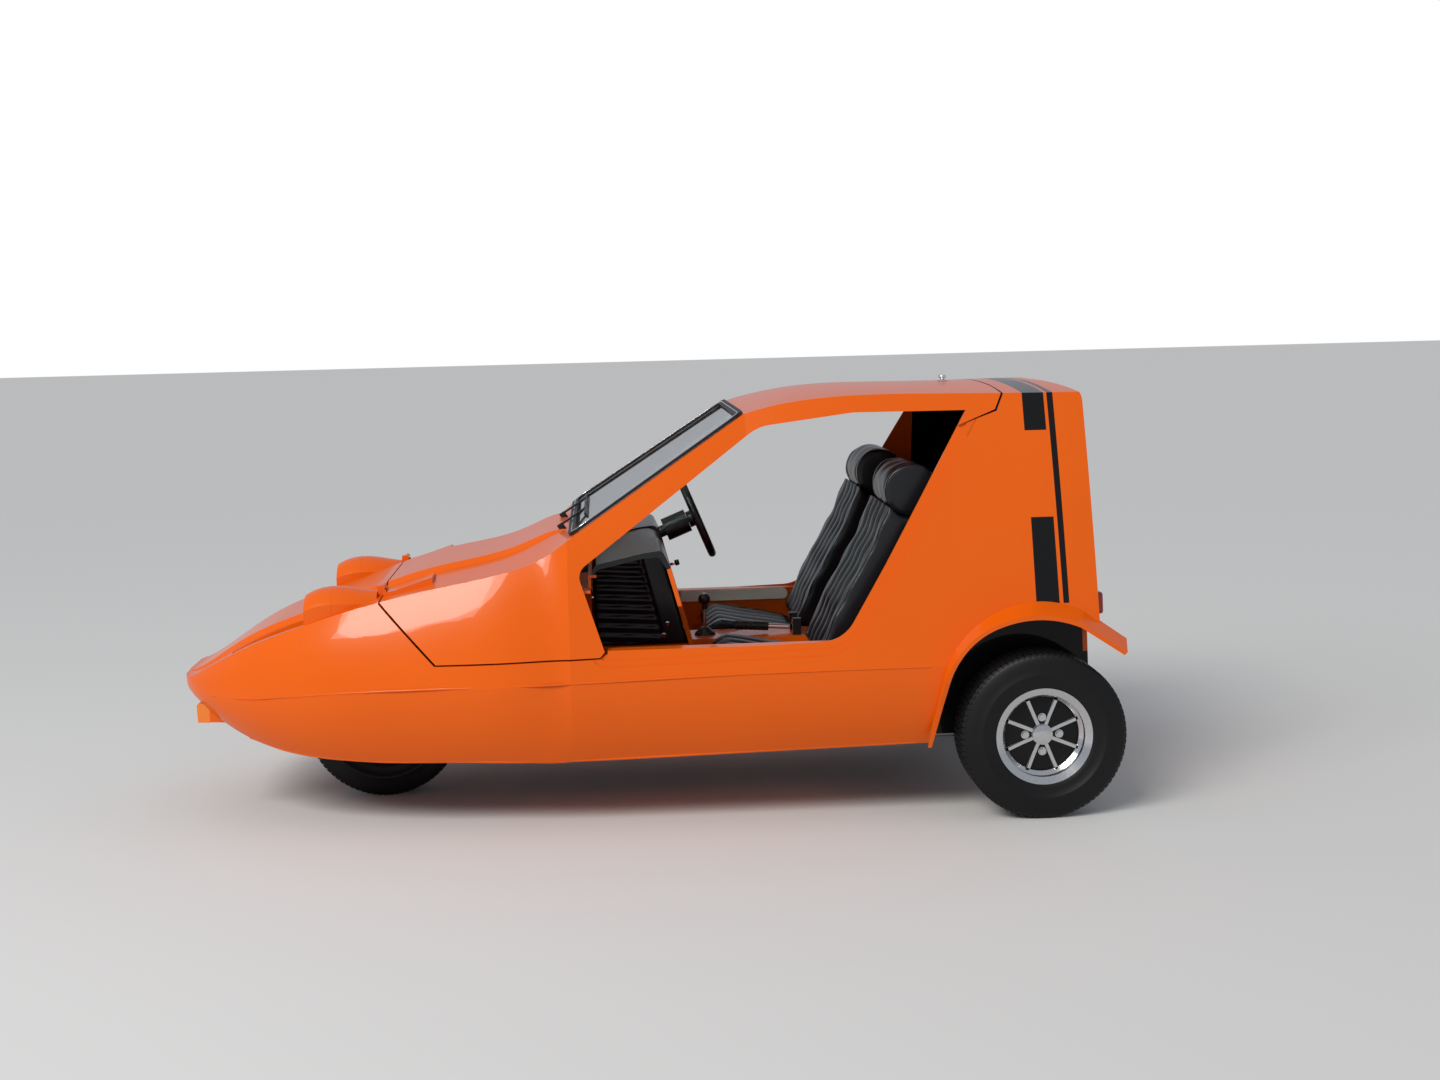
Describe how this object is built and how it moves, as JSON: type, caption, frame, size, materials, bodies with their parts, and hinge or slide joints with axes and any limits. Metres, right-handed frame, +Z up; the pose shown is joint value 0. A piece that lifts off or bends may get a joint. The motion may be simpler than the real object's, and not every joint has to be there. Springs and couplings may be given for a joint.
{
  "type": "three wheeled car",
  "caption": "Low wedge-shaped two-seat car with a single front wheel and a front-hinged canopy that lifts instead of doors.",
  "frame": {"origin": "on the ground under the middle of the car's length and width", "axes": "+X towards the tail, +Y towards the driver's side (the car's right), +Z up"},
  "size_m": [2.79, 1.397, 1.27],
  "materials": {
    "orange_body": "gloss orange gel coat",
    "glass": "clear",
    "black_rubber": "satin",
    "tyre_rubber": "matt",
    "alloy": "polished ribs with grey paint between",
    "black_steel": "satin black",
    "silver_steel": "satin",
    "engine_iron": "rough",
    "chrome": "polished",
    "black_vinyl": "satin vinyl",
    "black_plastic": "satin",
    "cream_plastic": "satin",
    "amber_lens": "clear gloss",
    "red_lens": "clear gloss"
  },
  "bodies": {
    "body": {"nose_panel": "orange_body", "lamp_hoods": "orange_body", "hinge_brackets": "orange_body", "front_indicators": "amber_lens", "nose_strip": "black_rubber", "body_tub": "orange_body", "rear_flares": "orange_body", "cabin_moulding": "orange_body", "engine_cover": "black_vinyl", "dash_pad": "black_vinyl", "fascia": "orange_body", "chassis_frame": "black_steel", "front_arm": "silver_steel", "front_damper": "black_steel", "rear_axle": "black_steel", "rear_springs": "black_steel", "trailing_arms": "silver_steel", "propeller_shaft": "silver_steel", "engine_block": "engine_iron", "exhaust": "silver_steel", "fuel_tank": "black_steel", "seat_cushions": "black_vinyl", "seat_backs": "black_vinyl", "head_rolls": "black_vinyl", "belt_buckles": "black_plastic", "sill_strips": "cream_plastic", "control_levers": "chrome", "lever_grips": "black_plastic", "pedals": "black_steel", "steering_column": "black_plastic", "headlamp_bowls": "chrome", "headlamp_lenses": "glass", "tail_shell": "orange_body", "rear_window": "glass", "rear_window_seal": "black_rubber", "tail_lamps": "red_lens"},
    "canopy": {"canopy_shell": "orange_body", "hinge_leaves": "orange_body", "windscreen": "glass", "windscreen_seal": "black_rubber", "wipers": "black_plastic", "roof_knob": "chrome"},
    "knuckle": {"front_knuckle": "black_steel"},
    "front_wheel": {"front_tyre": "tyre_rubber", "front_rim": "alloy"},
    "rear_left_wheel": {"rear_left_tyre": "tyre_rubber", "rear_left_rim": "alloy"},
    "rear_right_wheel": {"rear_right_tyre": "tyre_rubber", "rear_right_rim": "alloy"},
    "hand_wheel": {"steering_wheel": "black_plastic"}
  },
  "joints": [
    {"name": "canopy_lift", "type": "hinge", "parent": "body", "child": "canopy", "pos_m": [-0.763, 0, 0.703], "axis": [0, -1, 0], "range_deg": [0, 48]},
    {"name": "front_steer", "type": "hinge", "parent": "body", "child": "knuckle", "pos_m": [-0.812, 0.117, 0.243], "axis": [0, 0, 1], "range_deg": [-30, 30]},
    {"name": "front_wheel_spin", "type": "hinge", "parent": "knuckle", "child": "front_wheel", "pos_m": [-0.812, 0, 0.243], "axis": [0, 1, 0], "continuous": true},
    {"name": "rear_left_wheel_spin", "type": "hinge", "parent": "body", "child": "rear_left_wheel", "pos_m": [1.144, -0.6, 0.243], "axis": [0, 1, 0], "continuous": true},
    {"name": "rear_right_wheel_spin", "type": "hinge", "parent": "body", "child": "rear_right_wheel", "pos_m": [1.144, 0.6, 0.243], "axis": [0, 1, 0], "continuous": true},
    {"name": "steering_wheel_turn", "type": "hinge", "parent": "body", "child": "hand_wheel", "pos_m": [0.198, 0.3, 0.815], "axis": [0.9272, 0, 0.3746], "range_deg": [-400, 400]}
  ],
  "couplings": [
    {"joint": "steering_wheel_turn", "follows": "front_steer", "ratio": 13.333}
  ]
}
